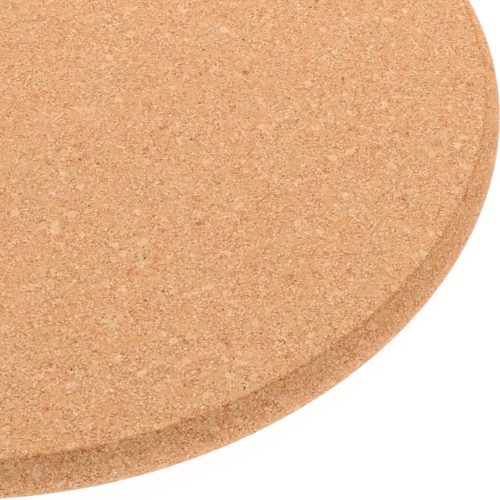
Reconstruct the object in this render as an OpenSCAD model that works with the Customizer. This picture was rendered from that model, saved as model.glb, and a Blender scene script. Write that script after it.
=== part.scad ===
// Round trivet for the table: one disc pressed from cork granules.
// The disc lies on its lower face, centred on the Z axis, with Z = 0 on the table.
// It is the same either way up. Its side is an arc that swells out between two flat
// faces, and it meets each face in a narrow softened edge.

/* [Disc] */
// Largest diameter of the disc, across the middle of its rounded side
disc_d = 190; // [120:1:240]
// Thickness from the face it lies on to the face that the pot stands on
disc_t = 10; // [8:0.5:20]

/* [Side] */
// How far the rounded side swells out past the corner of either flat face
side_swell = 2.9; // [0.8:0.1:3.8]
// Radius that softens the edge where the rounded side meets a flat face
edge_r = 0.5; // [0.2:0.1:1.2]

/* [Look] */
// Colour of the pressed cork
cork_colour = "#D8A577"; // ["#D8A577":Natural, "#B98557":Toasted]

/* [Hidden] */
$fn = 180;

// The side's arc spans the whole thickness, about a centre this far from the disc's axis
half_t = disc_t / 2;
side_r = (half_t ^ 2 + side_swell ^ 2) / (2 * side_swell);
side_centre = disc_d / 2 - side_r;

// The edge's arc touches the flat face and, from inside, the side's arc. Its centre lies
// this far out from the side's centre and this far up from the middle of the thickness,
// so the two arcs touch on the line through both centres.
edge_up = half_t - edge_r;
edge_out = sqrt((side_r - edge_r) ^ 2 - edge_up ^ 2);
touch_angle = atan2(edge_up, edge_out);

// The part of a circle that lies within an angle on either side of the X axis
module sector(radius, angle) {
    reach = 2 * radius;
    intersection() {
        circle(radius);
        polygon([
            [0, 0],
            reach * [cos(angle), -sin(angle)],
            [reach, 0],
            reach * [cos(angle), sin(angle)],
        ]);
    }
}

// Half of the disc's cross-section, from the axis out to the swollen side
module cross_section() {
    translate([0, -half_t])
        square([side_centre + edge_out, disc_t]);
    translate([side_centre, 0]) {
        sector(side_r, touch_angle);
        for (up = [-edge_up, edge_up])
            translate([edge_out, up])
                circle(edge_r);
    }
}

// The whole trivet: a solid disc of pressed cork granules
module cork_disc() {
    color(cork_colour)
        translate([0, 0, half_t])
            rotate_extrude()
                cross_section();
}

cork_disc();
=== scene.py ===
"""A round trivet of pressed cork granules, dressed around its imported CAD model."""

import math

import bpy
import numpy as np
from mathutils import Matrix, Vector


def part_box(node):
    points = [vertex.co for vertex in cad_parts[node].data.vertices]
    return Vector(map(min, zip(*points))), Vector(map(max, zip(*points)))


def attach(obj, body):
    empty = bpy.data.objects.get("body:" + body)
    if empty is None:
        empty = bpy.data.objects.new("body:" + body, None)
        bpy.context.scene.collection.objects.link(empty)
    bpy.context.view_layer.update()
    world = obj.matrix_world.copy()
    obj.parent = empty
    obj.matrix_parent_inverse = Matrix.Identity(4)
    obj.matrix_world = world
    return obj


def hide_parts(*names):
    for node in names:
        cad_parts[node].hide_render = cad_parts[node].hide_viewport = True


MM = 0.001

# The disc: how far its side swells past the flat faces, and the radius of the edge
SIDE_SWELL = 2.9 * MM
EDGE_RADIUS = 0.3 * MM

# The mesh: squares across a flat face, the triangles kept of them, steps along the side's
# section, and how near to the rim's radius a point of the rim lies
FACE_SQUARES = 368
FACE_TRIANGLES = 68000
SIDE_STEPS = 17
EDGE_STEPS = 2
RIM_TOLERANCE = 0.001 * MM

# The relief, all of it cut inwards from the disc's true surface
SEAM_DEPTH = 0.03 * MM
GRANULE_DEPTH = 0.03 * MM
PIT_DEPTH = 0.3 * MM
CHIP_DEPTH = 0.1 * MM
CHIP_REACH = 0.5 * MM
DUST_HEIGHT = 0.005 * MM

# From here on, a length in the cork's pattern is in millimetres, without the unit.
# The cells of granules, crumbs and dust, per millimetre
GRANULE_CELLS = 0.75
CRUMB_CELLS = 2.3
DUST_CELLS = 5.0
DUST_STRETCH = (1.05, 1.45, 1.0)

# Each noise: waves per millimetre, octaves of detail, and how rough they make it
WANDER_NOISE = (0.45, 2.0, 0.6)
RAGGED_NOISE = (2.4, 2.0, 0.7)
CHIP_NOISE = (0.8, 3.0, 0.6)
GAP_NOISE = (1.9, 2.0, 0.6)
TINT_NOISE = (0.12, 2.0, 0.6)
SIDE_NOISE = (1.1, 2.0, 0.6)
PATCH_NOISE = (0.35, 3.0, 0.6)

# How far the first two noises bend the pattern
WANDER_REACH = 1.3
RAGGED_REACH = 0.36

# Round spots: cells per millimetre, the share of them that holds a spot, the largest spot's
# radius and how soft its outline is. The smallest spot's radius is a share of the largest's.
PALE_LUMPS = (0.3, 0.2, 0.95, 0.1)
SPECKS = (0.6, 0.2, 0.27, 0.05)
PITS = (0.13, 0.5, 0.75, 0.2)
SMALLEST_SHARE = 0.3

# Shares of the granules: whole ones, without crumbs, then pale ones and bits of bark. A pale
# colour or bark fades out this near to a granule's outline.
WHOLE_SHARE = 0.35
PALE_SHARE = 0.06
BARK_SHARE = 0.025
OUTLINE_FADE = (0.02, 0.1)

# The width of the seam in the relief, and the levels of noise between which an edge is chipped
SEAM_WIDTH = 0.3
CHIP_FROM = (0.42, 0.66)

# The cork's colour as the display shows it, and how one step of brightness changes it: that of
# a crumb, and that of a fleck too small to be seen by itself. No colour of the grain is darker or
# paler than the last two.
BASE_COLOUR = (0.892, 0.655, 0.456)
CRUMB_COLOUR = (0.85, 1.06, 1.18)
DUST_COLOUR = (0.72, 1.1, 1.36)
DARKEST = (0.3, 0.16, 0.1)
PALEST = (0.995, 0.95, 0.9)
DISPLAY_GAMMA = 2.2

# Brightness, from the darkest to the palest of each kind, and the power that makes pale ones
# rare. A crumb is paler at its middle, by the last levels.
GRANULE_LEVELS = (-0.006, 0.011)
GRANULE_RARITY = 2.0
CRUMB_LEVELS = (-0.017, 0.034)
CRUMB_RARITY = 2.2
CRUMB_DOME = (0.09, -0.074)

# Dust: its step of brightness, the weights of the step and of its cube, and its palest
DUST_STEP = 0.2
DUST_CURVE = (0.6, 0.6)
DUST_TOP = 0.15

# How much calmer the dust is in a whole granule, and everything in a pale one
WHOLE_CALM = 0.45
PALE_CALM = 0.7

# Dark gaps between crumbs and granules, partly their own dark joints and partly painted shade:
# their step of brightness, their width, and the levels of noise that break them
GAP_STEP = 0.19
GAP_WIDTH = 0.085
GAP_BREAK = (0.48, 0.66)

# A tint moves the colour along HUE_SHIFT and then YELLOW_SHIFT. These are the weights of each
# granule's own tint, of each crumb's, and of the slow change across the disc.
HUE_SHIFT = (0.0, 0.042, 0.058)
GRANULE_TINT = 0.8
CRUMB_TINT = 0.15
SLOW_TINT = 0.5
YELLOW_SHIFT = (0.0, 0.0, -0.014)
GRANULE_YELLOW = 0.9
SLOW_YELLOW = 1.6

# Pale granules, between creamy and pink, and bits of bark
PALE_SHIFT = (0.046, 0.086, 0.118)
PINK_SHIFT = (0.015, -0.026, -0.012)
PINK_RANGE = 2.0
BARK_SHIFT = (-0.03, -0.08, -0.09)

# The colour of dark specks, how far it is mixed in, and the share of that in a pit, which is
# painted shade in the hollow
SPECK_COLOUR = (0.47, 0.26, 0.02, 1.0)
SPECK_DARKNESS = 0.9
PAINTED_PIT_SHADE = 0.3

# The side's colour. It starts between these distances past the face's rim, a little ragged.
# The side is a little paler than the faces, partly its own colour and partly painted bounce and
# sheen from the white table. Its upper part is darker and browner, in patches, which is painted
# shade below the crease, and its lower part is paler still, which is more painted bounce and
# sheen from the white table. Heights are shares of the thickness.
SIDE_FROM = (-0.12, 0.18)
SIDE_RAGGED = 0.5
SIDE_SHIFT = (0.006, 0.016, 0.026)
PAINTED_SHADE_SHARES = (0.3, 0.85)
PAINTED_SHADE_SHIFT = (-0.014, -0.036, -0.05)
PATCHES_FROM = (0.35, 0.65)
PATCH_LEVELS = (0.8, 1.2)
PAINTED_BOUNCE_SHARES = (0.22, 0.46)
PAINTED_BOUNCE_SHIFT = (-0.012, 0.03, 0.055)

# The dark line along both rims: its middle, out from the rim and in from the flat face, the
# distances from there over which it fades, and its step of brightness
RIM_OUT = 0.18
RIM_IN = 0.1
RIM_REACH = (0.15, 0.6)
RIM_STEP = 0.05

# The surface: matte, with a slight gloss that differs from crumb to crumb
GLOSS = 0.22
ROUGHNESS = (0.6, 0.8)
SHEEN = 0.2
SHEEN_ROUGHNESS = 0.3

# How far the disc reaches on its square map, from the map's middle
MAP_REACH = 0.498
MAP_MIDDLE = 0.5

# Light: the sky's strength, half the table's width, its colour and glow, how much of the pure
# white the camera sees on it, and each lamp's place, size and power. Each lamp faces the disc.
WHITE = (1.0, 1.0, 1.0, 1.0)
SKY = 0.4
TABLE_HALF = 1.5
TABLE_COLOUR = (0.85, 0.85, 0.85, 1.0)
TABLE_GLOW = 0.5
SEEN_WHITE = 0.88
LAMPS = {
    "key": ((0.2, 0.99, 0.8), 0.6, 8.4),
    "over": ((0.25, 0.35, 0.75), 0.5, 2.2),
    "fill": ((0.65, -0.97, 0.35), 0.8, 2.5),
}

# The camera, fitted to the photograph. Its angles are in degrees.
FRAME_PX = 500
FOCAL_PX = 2027.1
SENSOR_MM = 36
CAMERA_DISTANCE = 400.8 * MM
CAMERA_ELEVATION = 40.91
CAMERA_PITCH = 46.235
CAMERA_YAW = 8.424
CAMERA_ROLL = -3.617
CLIP_START = 10 * MM

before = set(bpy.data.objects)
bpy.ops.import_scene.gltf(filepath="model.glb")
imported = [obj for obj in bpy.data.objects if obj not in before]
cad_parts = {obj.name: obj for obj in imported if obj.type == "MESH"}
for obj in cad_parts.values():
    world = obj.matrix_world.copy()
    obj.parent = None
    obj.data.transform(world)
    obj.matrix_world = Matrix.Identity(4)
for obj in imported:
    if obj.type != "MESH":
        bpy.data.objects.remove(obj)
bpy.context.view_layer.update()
low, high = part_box("cork_disc")
DISC_RADIUS = high.x
THICKNESS = high.z - low.z

# The side's section: one arc across the whole thickness, and at each edge an arc that touches
# both it and the flat face. The upper edge arc's centre lies straight below the face's rim.
HALF_THICKNESS = THICKNESS / 2
SIDE_ARC = (HALF_THICKNESS**2 + SIDE_SWELL**2) / (2 * SIDE_SWELL)
SIDE_CENTRE = DISC_RADIUS - SIDE_ARC
EDGE_UP = HALF_THICKNESS - EDGE_RADIUS
EDGE_OUT = math.sqrt((SIDE_ARC - EDGE_RADIUS) ** 2 - EDGE_UP**2)
FACE_RADIUS = SIDE_CENTRE + EDGE_OUT


class Tree:
    """Short calls for building a node tree, in a material or in geometry nodes."""

    def __init__(self, tree):
        self.tree = tree
        tree.nodes.clear()

    def add(self, kind, inputs=None, **settings):
        """A new node. inputs maps a socket's name or number to a value or another socket."""
        node = self.tree.nodes.new(kind)
        for name, value in settings.items():
            setattr(node, name, value)
        for key, value in (inputs or {}).items():
            if isinstance(value, bpy.types.NodeSocket):
                self.tree.links.new(value, node.inputs[key])
            else:
                node.inputs[key].default_value = value
        return node

    def math(self, operation, *values):
        """The result of a Math node on one, two or three values."""
        node = self.add("ShaderNodeMath", dict(enumerate(values)), operation=operation)
        return node.outputs[0]

    def total(self, first, *others):
        """The sum of some numbers."""
        for other in others:
            first = self.math("ADD", first, other)
        return first

    def product(self, first, *others):
        """The product of some numbers."""
        for other in others:
            first = self.math("MULTIPLY", first, other)
        return first

    def off_middle(self, value, size=1.0):
        """A number from 0 to 1 as one from -size / 2 to size / 2."""
        return self.math("MULTIPLY_ADD", value, size, -0.5 * size)

    def ramp(self, value, from_low, from_high, to_low=0.0, to_high=1.0, smooth=True):
        """A value mapped from one range to another, clamped."""
        node = self.add(
            "ShaderNodeMapRange",
            {0: value, 1: from_low, 2: from_high, 3: to_low, 4: to_high},
            interpolation_type="SMOOTHSTEP" if smooth else "LINEAR",
        )
        return node.outputs[0]

    def levels(self, value, low, high):
        """A number from 0 to 1 as one from low to high."""
        return self.ramp(value, 0.0, 1.0, low, high, smooth=False)

    def mixed(self, factor, a, b, kind="FLOAT"):
        """A Mix node on numbers or, with kind RGBA, on colours."""
        factor_in, a_in, b_in, out = {"FLOAT": (0, 2, 3, 0), "RGBA": (0, 6, 7, 2)}[kind]
        node = self.add("ShaderNodeMix", {factor_in: factor, a_in: a, b_in: b}, data_type=kind)
        return node.outputs[out]

    def vector(self, operation, *values, output="Vector", **named):
        """The result of a Vector Math node."""
        inputs = dict(enumerate(values)) | named
        node = self.add("ShaderNodeVectorMath", inputs, operation=operation)
        return node.outputs[output]

    def scaled(self, vector, factor):
        """A vector times a number."""
        return self.vector("SCALE", vector, Scale=factor)

    def length(self, vector):
        """A vector's length."""
        return self.vector("LENGTH", vector, output="Value")

    def shifted(self, colour, shift, factor):
        """A colour moved by a factor of a shift."""
        return self.vector("ADD", colour, self.scaled(shift, factor))

    def parts(self, vector):
        """A vector's three numbers, or a colour's."""
        return self.add("ShaderNodeSeparateXYZ", {0: vector}).outputs

    def noise(self, place, scale, detail, roughness):
        """Smooth noise from 0 to 1: one number, and three as a colour."""
        node = self.add(
            "ShaderNodeTexNoise",
            {"Vector": place, "Scale": scale, "Detail": detail, "Roughness": roughness},
        )
        return node.outputs[0], node.outputs["Color"]

    def wander(self, place, noise, reach=1.0):
        """Noise as a vector to either side of nothing, up to half the reach along each axis."""
        centred = self.vector("SUBTRACT", self.noise(place, *noise)[1], (0.5, 0.5, 0.5))
        return self.scaled(centred, reach)

    def cells(self, place, scale, feature="F1"):
        """Voronoi cells: the distance from a cell's middle or outline, and its own colour."""
        inputs = {"Vector": place, "Scale": scale}
        return self.add("ShaderNodeTexVoronoi", inputs, feature=feature).outputs

    def from_outline(self, place, scale):
        """The distance from the outline of the cell that a place lies in."""
        edge = self.cells(place, scale, "DISTANCE_TO_EDGE")["Distance"]
        return self.math("DIVIDE", edge, scale)

    def attribute(self, name, kind="FLOAT_VECTOR"):
        """A named attribute of the points, in geometry nodes."""
        node = self.add("GeometryNodeInputNamedAttribute", {"Name": name}, data_type=kind)
        return node.outputs[0]


def spots(tree, place, per_mm, share, radius, soft):
    """Round spots in some cells: 0 outside a spot and 1 in its middle."""
    cell = tree.cells(place, per_mm)
    random = tree.parts(cell["Color"])[0]
    least = 1.0 - share
    size = tree.ramp(random, least, 1.0, SMALLEST_SHARE * radius, radius, smooth=False)
    size = tree.math("MULTIPLY", size, tree.math("GREATER_THAN", random, least))
    away = tree.math("DIVIDE", cell["Distance"], per_mm)
    return tree.ramp(tree.math("SUBTRACT", size, away), -soft, soft)


def granules(tree, place):
    """The pressed granules at a place, which both the relief and the colours follow."""
    ragged = tree.wander(place, RAGGED_NOISE, RAGGED_REACH)
    wander = tree.wander(place, WANDER_NOISE, WANDER_REACH)
    bent = tree.vector("ADD", place, tree.vector("ADD", wander, ragged))
    stretched = tree.vector("MULTIPLY", tree.vector("ADD", place, ragged), DUST_STRETCH)
    granule = tree.parts(tree.cells(bent, GRANULE_CELLS)["Color"])
    granule_edge = tree.from_outline(bent, GRANULE_CELLS)
    crumb = tree.cells(bent, CRUMB_CELLS)
    inside = tree.ramp(granule_edge, *OUTLINE_FADE)
    pale = tree.ramp(granule[0], 1.0 - PALE_SHARE, 1.0, smooth=False)
    bark = tree.ramp(granule[0], 0.0, BARK_SHARE, 1.0, 0.0, smooth=False)
    lumps = spots(tree, bent, *PALE_LUMPS)
    return {
        "granule": granule,
        "granule_edge": granule_edge,
        "whole": tree.math("GREATER_THAN", granule[2], 1.0 - WHOLE_SHARE),
        "pale": tree.math("MAXIMUM", tree.math("MULTIPLY", pale, inside), lumps),
        "bark": tree.math("MULTIPLY", bark, inside),
        "crumb": tree.parts(crumb["Color"]),
        "crumb_middle": crumb["Distance"],
        "crumb_edge": tree.from_outline(bent, CRUMB_CELLS),
        "dust": tree.parts(tree.cells(stretched, DUST_CELLS)["Color"]),
        "specks": spots(tree, bent, *SPECKS),
        "pits": spots(tree, bent, *PITS),
    }


def relief_nodes():
    """Geometry nodes that press the granules, their seams, pits and chipped edges into a skin."""
    group = bpy.data.node_groups.new("cork_relief", "GeometryNodeTree")
    for side in ("INPUT", "OUTPUT"):
        group.interface.new_socket("Geometry", in_out=side, socket_type="NodeSocketGeometry")
    tree = Tree(group)
    start = tree.add("NodeGroupInput")
    place = tree.scaled(tree.attribute("place"), 1 / MM)
    cork = granules(tree, place)
    seam = tree.ramp(cork["granule_edge"], 0.0, SEAM_WIDTH, 1.0, 0.0)
    chip = tree.ramp(tree.noise(place, *CHIP_NOISE)[0], *CHIP_FROM, 0.0, CHIP_DEPTH)
    depth = tree.total(
        tree.math("MULTIPLY", seam, SEAM_DEPTH),
        tree.math("MULTIPLY", cork["granule"][0], GRANULE_DEPTH),
        tree.math("MULTIPLY", cork["pits"], PIT_DEPTH),
        tree.math("MULTIPLY", chip, tree.attribute("edge", "FLOAT")),
    )
    offset = tree.scaled(tree.attribute("outward"), tree.math("MULTIPLY", depth, -1.0))
    moved = tree.add("GeometryNodeSetPosition", {"Geometry": start.outputs[0], "Offset": offset})
    tree.add("NodeGroupOutput", {0: moved.outputs[0]})
    return group


def side_profile():
    """Radius, height and slope along the side's arcs, from the upper face's rim to the lower's."""
    touch = math.atan2(EDGE_UP, EDGE_OUT)
    arcs = [
        (FACE_RADIUS, EDGE_UP, EDGE_RADIUS, math.pi / 2, touch, EDGE_STEPS),
        (SIDE_CENTRE, 0.0, SIDE_ARC, touch, -touch, SIDE_STEPS),
        (FACE_RADIUS, -EDGE_UP, EDGE_RADIUS, -touch, -math.pi / 2, EDGE_STEPS),
    ]
    stations = []
    for out, up, radius, start, end, steps in arcs:
        # An arc starts where the last one ended, so only the first gives its first point
        for angle in np.linspace(start, end, steps + 1)[1 if stations else 0 :]:
            height = HALF_THICKNESS + up + radius * math.sin(angle)
            stations.append((out + radius * math.cos(angle), height, angle))
    return np.array(stations)


def face_grid(radius):
    """A grid of squares bent to fill a circle: its points, its squares, and its rim in order."""
    n = FACE_SQUARES
    line = np.linspace(-1, 1, n + 1)
    x, y = np.meshgrid(line, line)
    wide = np.abs(x) > np.abs(y)
    reach = np.where(wide, x, y)
    across = np.where(wide, y, x)
    turn = math.pi / 4 * across / np.where(reach == 0, 1, reach)
    turn = np.where(wide, turn, math.pi / 2 - turn)
    flat = radius * np.stack([reach * np.cos(turn), reach * np.sin(turn)], -1).reshape(-1, 2)
    index = np.arange((n + 1) ** 2).reshape(n + 1, n + 1)
    rim = np.concatenate([index[0, :-1], index[:-1, -1], index[-1, :0:-1], index[:0:-1, 0]])
    squares = np.stack([index[:-1, :-1], index[:-1, 1:], index[1:, 1:], index[1:, :-1]], -1)
    return flat, squares.reshape(-1, 4), rim


def face_corners(rings):
    """The values at the corners of the faces between rings of points: their numbers or places."""
    after = np.roll(rings, -1, axis=1)
    return np.stack([rings[:-1], rings[1:], after[1:], after[:-1]], 2)


def pressed(points, faces, places, outward, edge, kept=None, free=None):
    """A skin's points and faces once its relief is pressed in. With kept, only so many
    triangles are left, where they tell most, and only points in free may go."""
    mesh = bpy.data.meshes.new("skin")
    mesh.from_pydata(points, [], faces)
    for name, kind, field, values in (
        ("place", "FLOAT_VECTOR", "vector", places),
        ("outward", "FLOAT_VECTOR", "vector", outward),
        ("edge", "FLOAT", "value", edge),
    ):
        layer = mesh.attributes.new(name, kind, "POINT")
        layer.data.foreach_set(field, values.astype(np.float32).ravel())
    skin = bpy.data.objects.new("skin", mesh)
    bpy.context.scene.collection.objects.link(skin)
    skin.modifiers.new("relief", "NODES").node_group = relief_nodes()
    if kept:
        group = skin.vertex_groups.new(name="free")
        group.add([int(i) for i in np.flatnonzero(free)], 1.0, "REPLACE")
        fewer = skin.modifiers.new("fewer", "DECIMATE")
        fewer.ratio = kept / (2 * len(faces))
        fewer.vertex_group = "free"
        fewer.use_collapse_triangulate = True
    final = skin.evaluated_get(bpy.context.evaluated_depsgraph_get()).to_mesh()
    found = np.empty(len(final.vertices) * 3, np.float32)
    final.vertices.foreach_get("co", found)
    corners = np.empty(len(final.loops), np.int32)
    final.loops.foreach_get("vertex_index", corners)
    sides = len(final.polygons[0].vertices)
    bpy.data.objects.remove(skin)
    return found.reshape(-1, 3).astype(float), corners.reshape(-1, sides)


def flat_skin():
    """The upper face with its relief: its points, its triangles, and the rim's points in order."""
    flat, squares, rim = face_grid(FACE_RADIUS)
    places = np.column_stack([flat, np.full(len(flat), THICKNESS)])
    outward = np.tile([0.0, 0.0, 1.0], (len(flat), 1))
    inside = FACE_RADIUS - np.linalg.norm(flat, axis=1)
    edge = np.clip(1 - inside / CHIP_REACH, 0, 1)
    free = np.ones(len(flat))
    free[rim] = 0
    points, triangles = pressed(places, squares, places, outward, edge, FACE_TRIANGLES, free)
    points[:, 2] = np.minimum(points[:, 2], THICKNESS)
    from_rim = np.abs(np.linalg.norm(points[:, :2], axis=1) - FACE_RADIUS)
    rim = np.flatnonzero(from_rim < RIM_TOLERANCE)
    return points, triangles, rim[np.argsort(np.arctan2(points[rim, 1], points[rim, 0]))]


def ring(around, radius, height):
    """Points round the disc's axis, one in each direction of around."""
    return np.column_stack([around * radius, np.full(len(around), height)])


def side_skin(stations, around, along):
    """The side with its relief, from rim to rim, as rings of points, and those rings without it."""
    rings = np.stack([ring(around, radius, height) for radius, height, _ in stations])
    outward = np.stack([ring(around, math.cos(t), math.sin(t)) for *_, t in stations])
    # Both rims move up or down only, just as the flat faces' rims do
    outward[0] = 0, 0, 1
    outward[-1] = 0, 0, -1
    # The lower rim takes its relief from the upper one's place, as the lower face does
    places = rings.copy()
    places[-1, :, 2] = THICKNESS
    edge = np.clip(1 - np.minimum(along, along[-1] - along) / CHIP_REACH, 0, 1)
    index = np.arange(len(stations) * len(around)).reshape(-1, len(around))
    points, _ = pressed(
        rings.reshape(-1, 3),
        face_corners(index).reshape(-1, 4),
        places.reshape(-1, 3),
        outward.reshape(-1, 3),
        np.repeat(edge, len(around)),
    )
    return points.reshape(rings.shape), rings


def disc_mesh():
    """The disc's closed mesh: the upper face, the same face turned over below it, and the side."""
    stations = side_profile()
    steps = np.hypot(*np.diff(stations[:, :2], axis=0).T)
    along = np.concatenate([[0], np.cumsum(steps)])
    upper, triangles, rim = flat_skin()
    around = upper[rim, :2] / np.linalg.norm(upper[rim, :2], axis=1)[:, None]
    rings, true_rings = side_skin(stations, around, along)
    lower = upper * (1, 1, -1) + (0, 0, THICKNESS)
    middle = rings[1:-1].reshape(-1, 3)
    total = len(upper)
    middle_index = np.arange(len(middle)).reshape(-1, len(rim)) + 2 * total
    index = np.concatenate([[rim], middle_index, [rim + total]])
    quads = face_corners(index).reshape(-1, 4)
    faces = [*triangles.tolist(), *(triangles[:, ::-1] + total).tolist(), *quads.tolist()]
    mesh = bpy.data.meshes.new("pressed_cork")
    mesh.from_pydata(np.concatenate([upper, lower, middle]), [], faces)
    # Each face's corners hold the place in the cork that they show. The lower face shows the
    # upper one's, so that both can share one part of the map.
    flat_places = upper[triangles] * (1, 1, 0) + (0, 0, THICKNESS)
    places = [flat_places, flat_places[:, ::-1], face_corners(true_rings)]
    places = np.concatenate([p.reshape(-1, 3) for p in places])
    layer = mesh.attributes.new("place", "FLOAT_VECTOR", "CORNER")
    layer.data.foreach_set("vector", places.astype(np.float32).ravel())
    # On the map the side lies round the upper face as a flat ring
    out = FACE_RADIUS + along
    side_map = face_corners(out[:, None, None] * around[None])
    maps = [flat_places[..., :2], flat_places[:, ::-1, :2], side_map]
    maps = np.concatenate([m.reshape(-1, 2) for m in maps]) / out[-1] * MAP_REACH + MAP_MIDDLE
    layer = mesh.uv_layers.new(name="OFBake")
    layer.uv.foreach_set("vector", maps.astype(np.float32).ravel())
    mesh.polygons.foreach_set("use_smooth", np.ones(len(faces), bool))
    mesh.update()
    return mesh


def brightness(tree, place, cork):
    """How much paler or darker than the base colour a spot is, for its crumb and for its dust."""
    whole = cork["whole"]
    granule = tree.math("POWER", cork["granule"][0], GRANULE_RARITY)
    granule = tree.levels(granule, *GRANULE_LEVELS)
    crumb = tree.levels(tree.math("POWER", cork["crumb"][0], CRUMB_RARITY), *CRUMB_LEVELS)
    crumb = tree.math("ADD", crumb, tree.levels(cork["crumb_middle"], *CRUMB_DOME))
    crumb = tree.math("MULTIPLY", crumb, tree.math("SUBTRACT", 1.0, whole))
    edge = tree.mixed(whole, cork["crumb_edge"], cork["granule_edge"])
    broken = tree.ramp(tree.noise(place, *GAP_NOISE)[0], *GAP_BREAK)
    # The gaps are partly the joints' own darkness and partly painted shade between crumbs and
    # granules
    gap = tree.product(tree.ramp(edge, 0.0, GAP_WIDTH, -GAP_STEP, 0.0), broken)
    dust = tree.levels(cork["dust"][0], -1.0, 1.0)
    straight, cubed = DUST_CURVE
    curve = tree.math("MULTIPLY_ADD", tree.math("MULTIPLY", dust, dust), cubed, straight)
    step = tree.levels(whole, DUST_STEP, DUST_STEP * (1.0 - WHOLE_CALM))
    dust = tree.math("MINIMUM", tree.product(dust, curve, step), DUST_TOP)
    calm = tree.levels(cork["pale"], 1.0, 1.0 - PALE_CALM)
    return tree.product(tree.total(granule, crumb, gap), calm), tree.product(dust, calm)


def hues(tree, place, cork):
    """The base colour with each granule's own tint, pale granules and bits of bark."""
    granule = cork["granule"]
    slow = tree.parts(tree.wander(place, TINT_NOISE))
    tint = tree.total(
        tree.off_middle(granule[1], GRANULE_TINT),
        tree.off_middle(cork["crumb"][1], CRUMB_TINT),
        tree.math("MULTIPLY", slow[0], SLOW_TINT),
    )
    yellow = tree.total(
        tree.off_middle(granule[2], GRANULE_YELLOW),
        tree.math("MULTIPLY", slow[1], SLOW_YELLOW),
    )
    pink = tree.product(cork["pale"], tree.off_middle(granule[1], PINK_RANGE))
    colour = tree.shifted(BASE_COLOUR, HUE_SHIFT, tint)
    colour = tree.shifted(colour, YELLOW_SHIFT, yellow)
    colour = tree.shifted(colour, PALE_SHIFT, cork["pale"])
    colour = tree.shifted(colour, PINK_SHIFT, pink)
    return tree.shifted(colour, BARK_SHIFT, cork["bark"])


def side_tints(tree, place):
    """Where the side is, its upper part with painted shade, its lower part with painted bounce
    light, and the step of the rims' dark line.
    """
    face_radius, half, thickness = FACE_RADIUS / MM, HALF_THICKNESS / MM, THICKNESS / MM
    radius = tree.length(tree.vector("MULTIPLY", place, (1.0, 1.0, 0.0)))
    height = tree.parts(place)[2]
    share = tree.math("DIVIDE", height, thickness)
    ragged = tree.off_middle(tree.noise(place, *SIDE_NOISE)[0], SIDE_RAGGED)
    past_rim = tree.math("SUBTRACT", tree.math("ADD", radius, ragged), face_radius)
    on_side = tree.ramp(past_rim, *SIDE_FROM)
    patches = tree.ramp(tree.noise(place, *PATCH_NOISE)[0], *PATCHES_FROM, *PATCH_LEVELS)
    # Painted shade: the side's upper part is darker and browner, in patches, below the crease
    painted_shade = tree.product(on_side, tree.ramp(share, *PAINTED_SHADE_SHARES), patches)
    # Painted light: the side's lower part is paler, for the white table's bounce and sheen
    lower = tree.product(on_side, tree.ramp(share, *PAINTED_BOUNCE_SHARES, 1.0, 0.0))
    from_middle = tree.math("ABSOLUTE", tree.math("SUBTRACT", height, half))
    section = tree.add("ShaderNodeCombineXYZ", {0: radius, 1: from_middle}).outputs[0]
    line = (face_radius + RIM_OUT, half - RIM_IN, 0.0)
    from_line = tree.length(tree.vector("SUBTRACT", section, line))
    rim = tree.product(tree.ramp(from_line, *RIM_REACH, -RIM_STEP, 0.0), patches)
    return on_side, painted_shade, lower, rim


def cork_material():
    """Pressed cork: crumbs between whole granules, dark gaps that are partly painted shade, flecks
    of dust, specks and bark, pits with painted shade, and a side with painted shade and painted
    bounce light.
    """
    material = bpy.data.materials.new("pressed_cork")
    material.use_nodes = True
    tree = Tree(material.node_tree)
    place = tree.add("ShaderNodeAttribute", attribute_name="place").outputs["Vector"]
    place = tree.scaled(place, 1 / MM)
    cork = granules(tree, place)
    on_side, painted_shade, lower, rim = side_tints(tree, place)
    crumb, dust = brightness(tree, place, cork)
    # Colours are mixed as the display shows them, and the gamma at the end turns them into light
    # The side is a little paler: partly its own colour, partly painted bounce and sheen from the
    # table
    colour = tree.shifted(hues(tree, place, cork), SIDE_SHIFT, on_side)
    # Painted shade: the side's upper part darker and browner
    colour = tree.shifted(colour, PAINTED_SHADE_SHIFT, painted_shade)
    # Painted light: the side's lower part paler still, for the white table's bounce and sheen
    colour = tree.shifted(colour, PAINTED_BOUNCE_SHIFT, lower)
    colour = tree.shifted(colour, CRUMB_COLOUR, tree.math("ADD", crumb, rim))
    colour = tree.shifted(colour, DUST_COLOUR, dust)
    colour = tree.vector("MAXIMUM", tree.vector("MINIMUM", colour, PALEST), DARKEST)
    # Painted shade: pits, already hollow in the relief, are darkened towards the specks' colour
    pits = tree.math("MULTIPLY", cork["pits"], PAINTED_PIT_SHADE)
    dark = tree.math("MULTIPLY", tree.math("MAXIMUM", cork["specks"], pits), SPECK_DARKNESS)
    colour = tree.mixed(dark, colour, SPECK_COLOUR, "RGBA")
    colour = tree.add("ShaderNodeGamma", {"Color": colour, "Gamma": DISPLAY_GAMMA}).outputs[0]
    bump = tree.add("ShaderNodeBump", {"Height": cork["dust"][0], "Distance": DUST_HEIGHT})
    shader = tree.add(
        "ShaderNodeBsdfPrincipled",
        {
            "Base Color": colour,
            "Roughness": tree.levels(cork["crumb"][2], *ROUGHNESS),
            "Specular IOR Level": GLOSS,
            "Sheen Weight": SHEEN,
            "Sheen Roughness": SHEEN_ROUGHNESS,
            "Normal": bump.outputs[0],
        },
    )
    tree.add("ShaderNodeOutputMaterial", {"Surface": shader.outputs[0]})
    return material


def seen_plainly(tree):
    """1 for what the camera sees, also by a gloss or through glass, and 0 for all other light."""
    path = tree.add("ShaderNodeLightPath").outputs
    seen = tree.math("MAXIMUM", path["Is Camera Ray"], path["Is Glossy Ray"])
    return tree.math("MAXIMUM", seen, path["Is Transmission Ray"])


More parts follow.
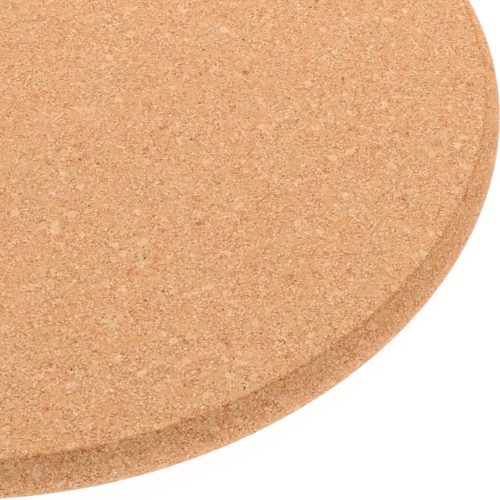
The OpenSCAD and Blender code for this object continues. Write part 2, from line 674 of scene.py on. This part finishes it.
def table_material():
    """A white table. To the camera its open parts are pure white, and the trivet's shadow stays."""
    material = bpy.data.materials.new("white_table")
    material.use_nodes = True
    tree = Tree(material.node_tree)
    matte = tree.add("ShaderNodeBsdfDiffuse", {"Color": TABLE_COLOUR})
    glow = tree.add("ShaderNodeEmission", {"Color": WHITE, "Strength": TABLE_GLOW})
    lit = tree.add("ShaderNodeAddShader", {0: matte.outputs[0], 1: glow.outputs[0]})
    pure = tree.add("ShaderNodeEmission", {"Color": WHITE, "Strength": 1.0})
    share = tree.math("MULTIPLY", seen_plainly(tree), SEEN_WHITE)
    mixed = tree.add("ShaderNodeMixShader", {0: share, 1: lit.outputs[0], 2: pure.outputs[0]})
    tree.add("ShaderNodeOutputMaterial", {"Surface": mixed.outputs[0]})
    return material


def make_table():
    """The square that the trivet lies on, which is stage and no part of it."""
    corners = [(x * TABLE_HALF, y * TABLE_HALF, 0) for x, y in ((-1, -1), (1, -1), (1, 1), (-1, 1))]
    mesh = bpy.data.meshes.new("table")
    mesh.from_pydata(corners, [], [(0, 1, 2, 3)])
    floor = bpy.data.objects.new("table", mesh)
    floor.data.materials.append(table_material())
    bpy.context.scene.collection.objects.link(floor)


def make_world():
    """An even soft light from the whole sky, which the camera sees as white."""
    world = bpy.data.worlds.new("studio")
    bpy.context.scene.world = world
    world.use_nodes = True
    tree = Tree(world.node_tree)
    strength = tree.mixed(seen_plainly(tree), SKY, 1.0)
    sky = tree.add("ShaderNodeBackground", {"Color": WHITE, "Strength": strength})
    tree.add("ShaderNodeOutputWorld", {"Surface": sky.outputs[0]})


def make_lamp(name, place, size, power):
    """A square lamp that faces the disc."""
    light = bpy.data.lights.new(name, "AREA")
    light.shape = "SQUARE"
    light.size = size
    light.energy = power
    lamp = bpy.data.objects.new(name, light)
    lamp.location = place
    lamp.rotation_euler = (-Vector(place)).to_track_quat("-Z", "Y").to_euler()
    bpy.context.scene.collection.objects.link(lamp)


def make_camera():
    """The photograph's view: near, low and to the right, so that most of the disc is cut off."""
    data = bpy.data.cameras.new("camera")
    data.sensor_width = SENSOR_MM
    data.lens = FOCAL_PX / FRAME_PX * SENSOR_MM
    data.clip_start = CLIP_START
    up = math.radians(CAMERA_ELEVATION)
    pitch = math.radians(CAMERA_PITCH)
    yaw = math.radians(CAMERA_YAW)
    place = CAMERA_DISTANCE * Vector((0, -math.cos(up), math.sin(up)))
    place += Vector((0, 0, THICKNESS))
    ahead = Vector(
        (math.sin(yaw) * math.cos(pitch), math.cos(yaw) * math.cos(pitch), -math.sin(pitch))
    )
    right = Vector((math.cos(yaw), -math.sin(yaw), 0))
    above = right.cross(ahead)
    turn = Matrix((right, above, -ahead)).transposed().to_4x4()
    roll = Matrix.Rotation(math.radians(CAMERA_ROLL), 4, "Z")
    camera = bpy.data.objects.new("camera", data)
    camera.matrix_world = Matrix.Translation(place) @ turn @ roll
    bpy.context.scene.collection.objects.link(camera)
    bpy.context.scene.camera = camera


def make_cork():
    """The trivet's one piece, in place of the CAD disc."""
    cork = bpy.data.objects.new("pressed_cork", disc_mesh())
    cork.data.materials.append(cork_material())
    bpy.context.scene.collection.objects.link(cork)
    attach(cork, "root")
    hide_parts("cork_disc")


make_camera()
make_world()
make_table()
for name, lamp in LAMPS.items():
    make_lamp(name, *lamp)
make_cork()

bpy.context.scene.view_settings.view_transform = "Standard"

bpy.context.view_layer.update()
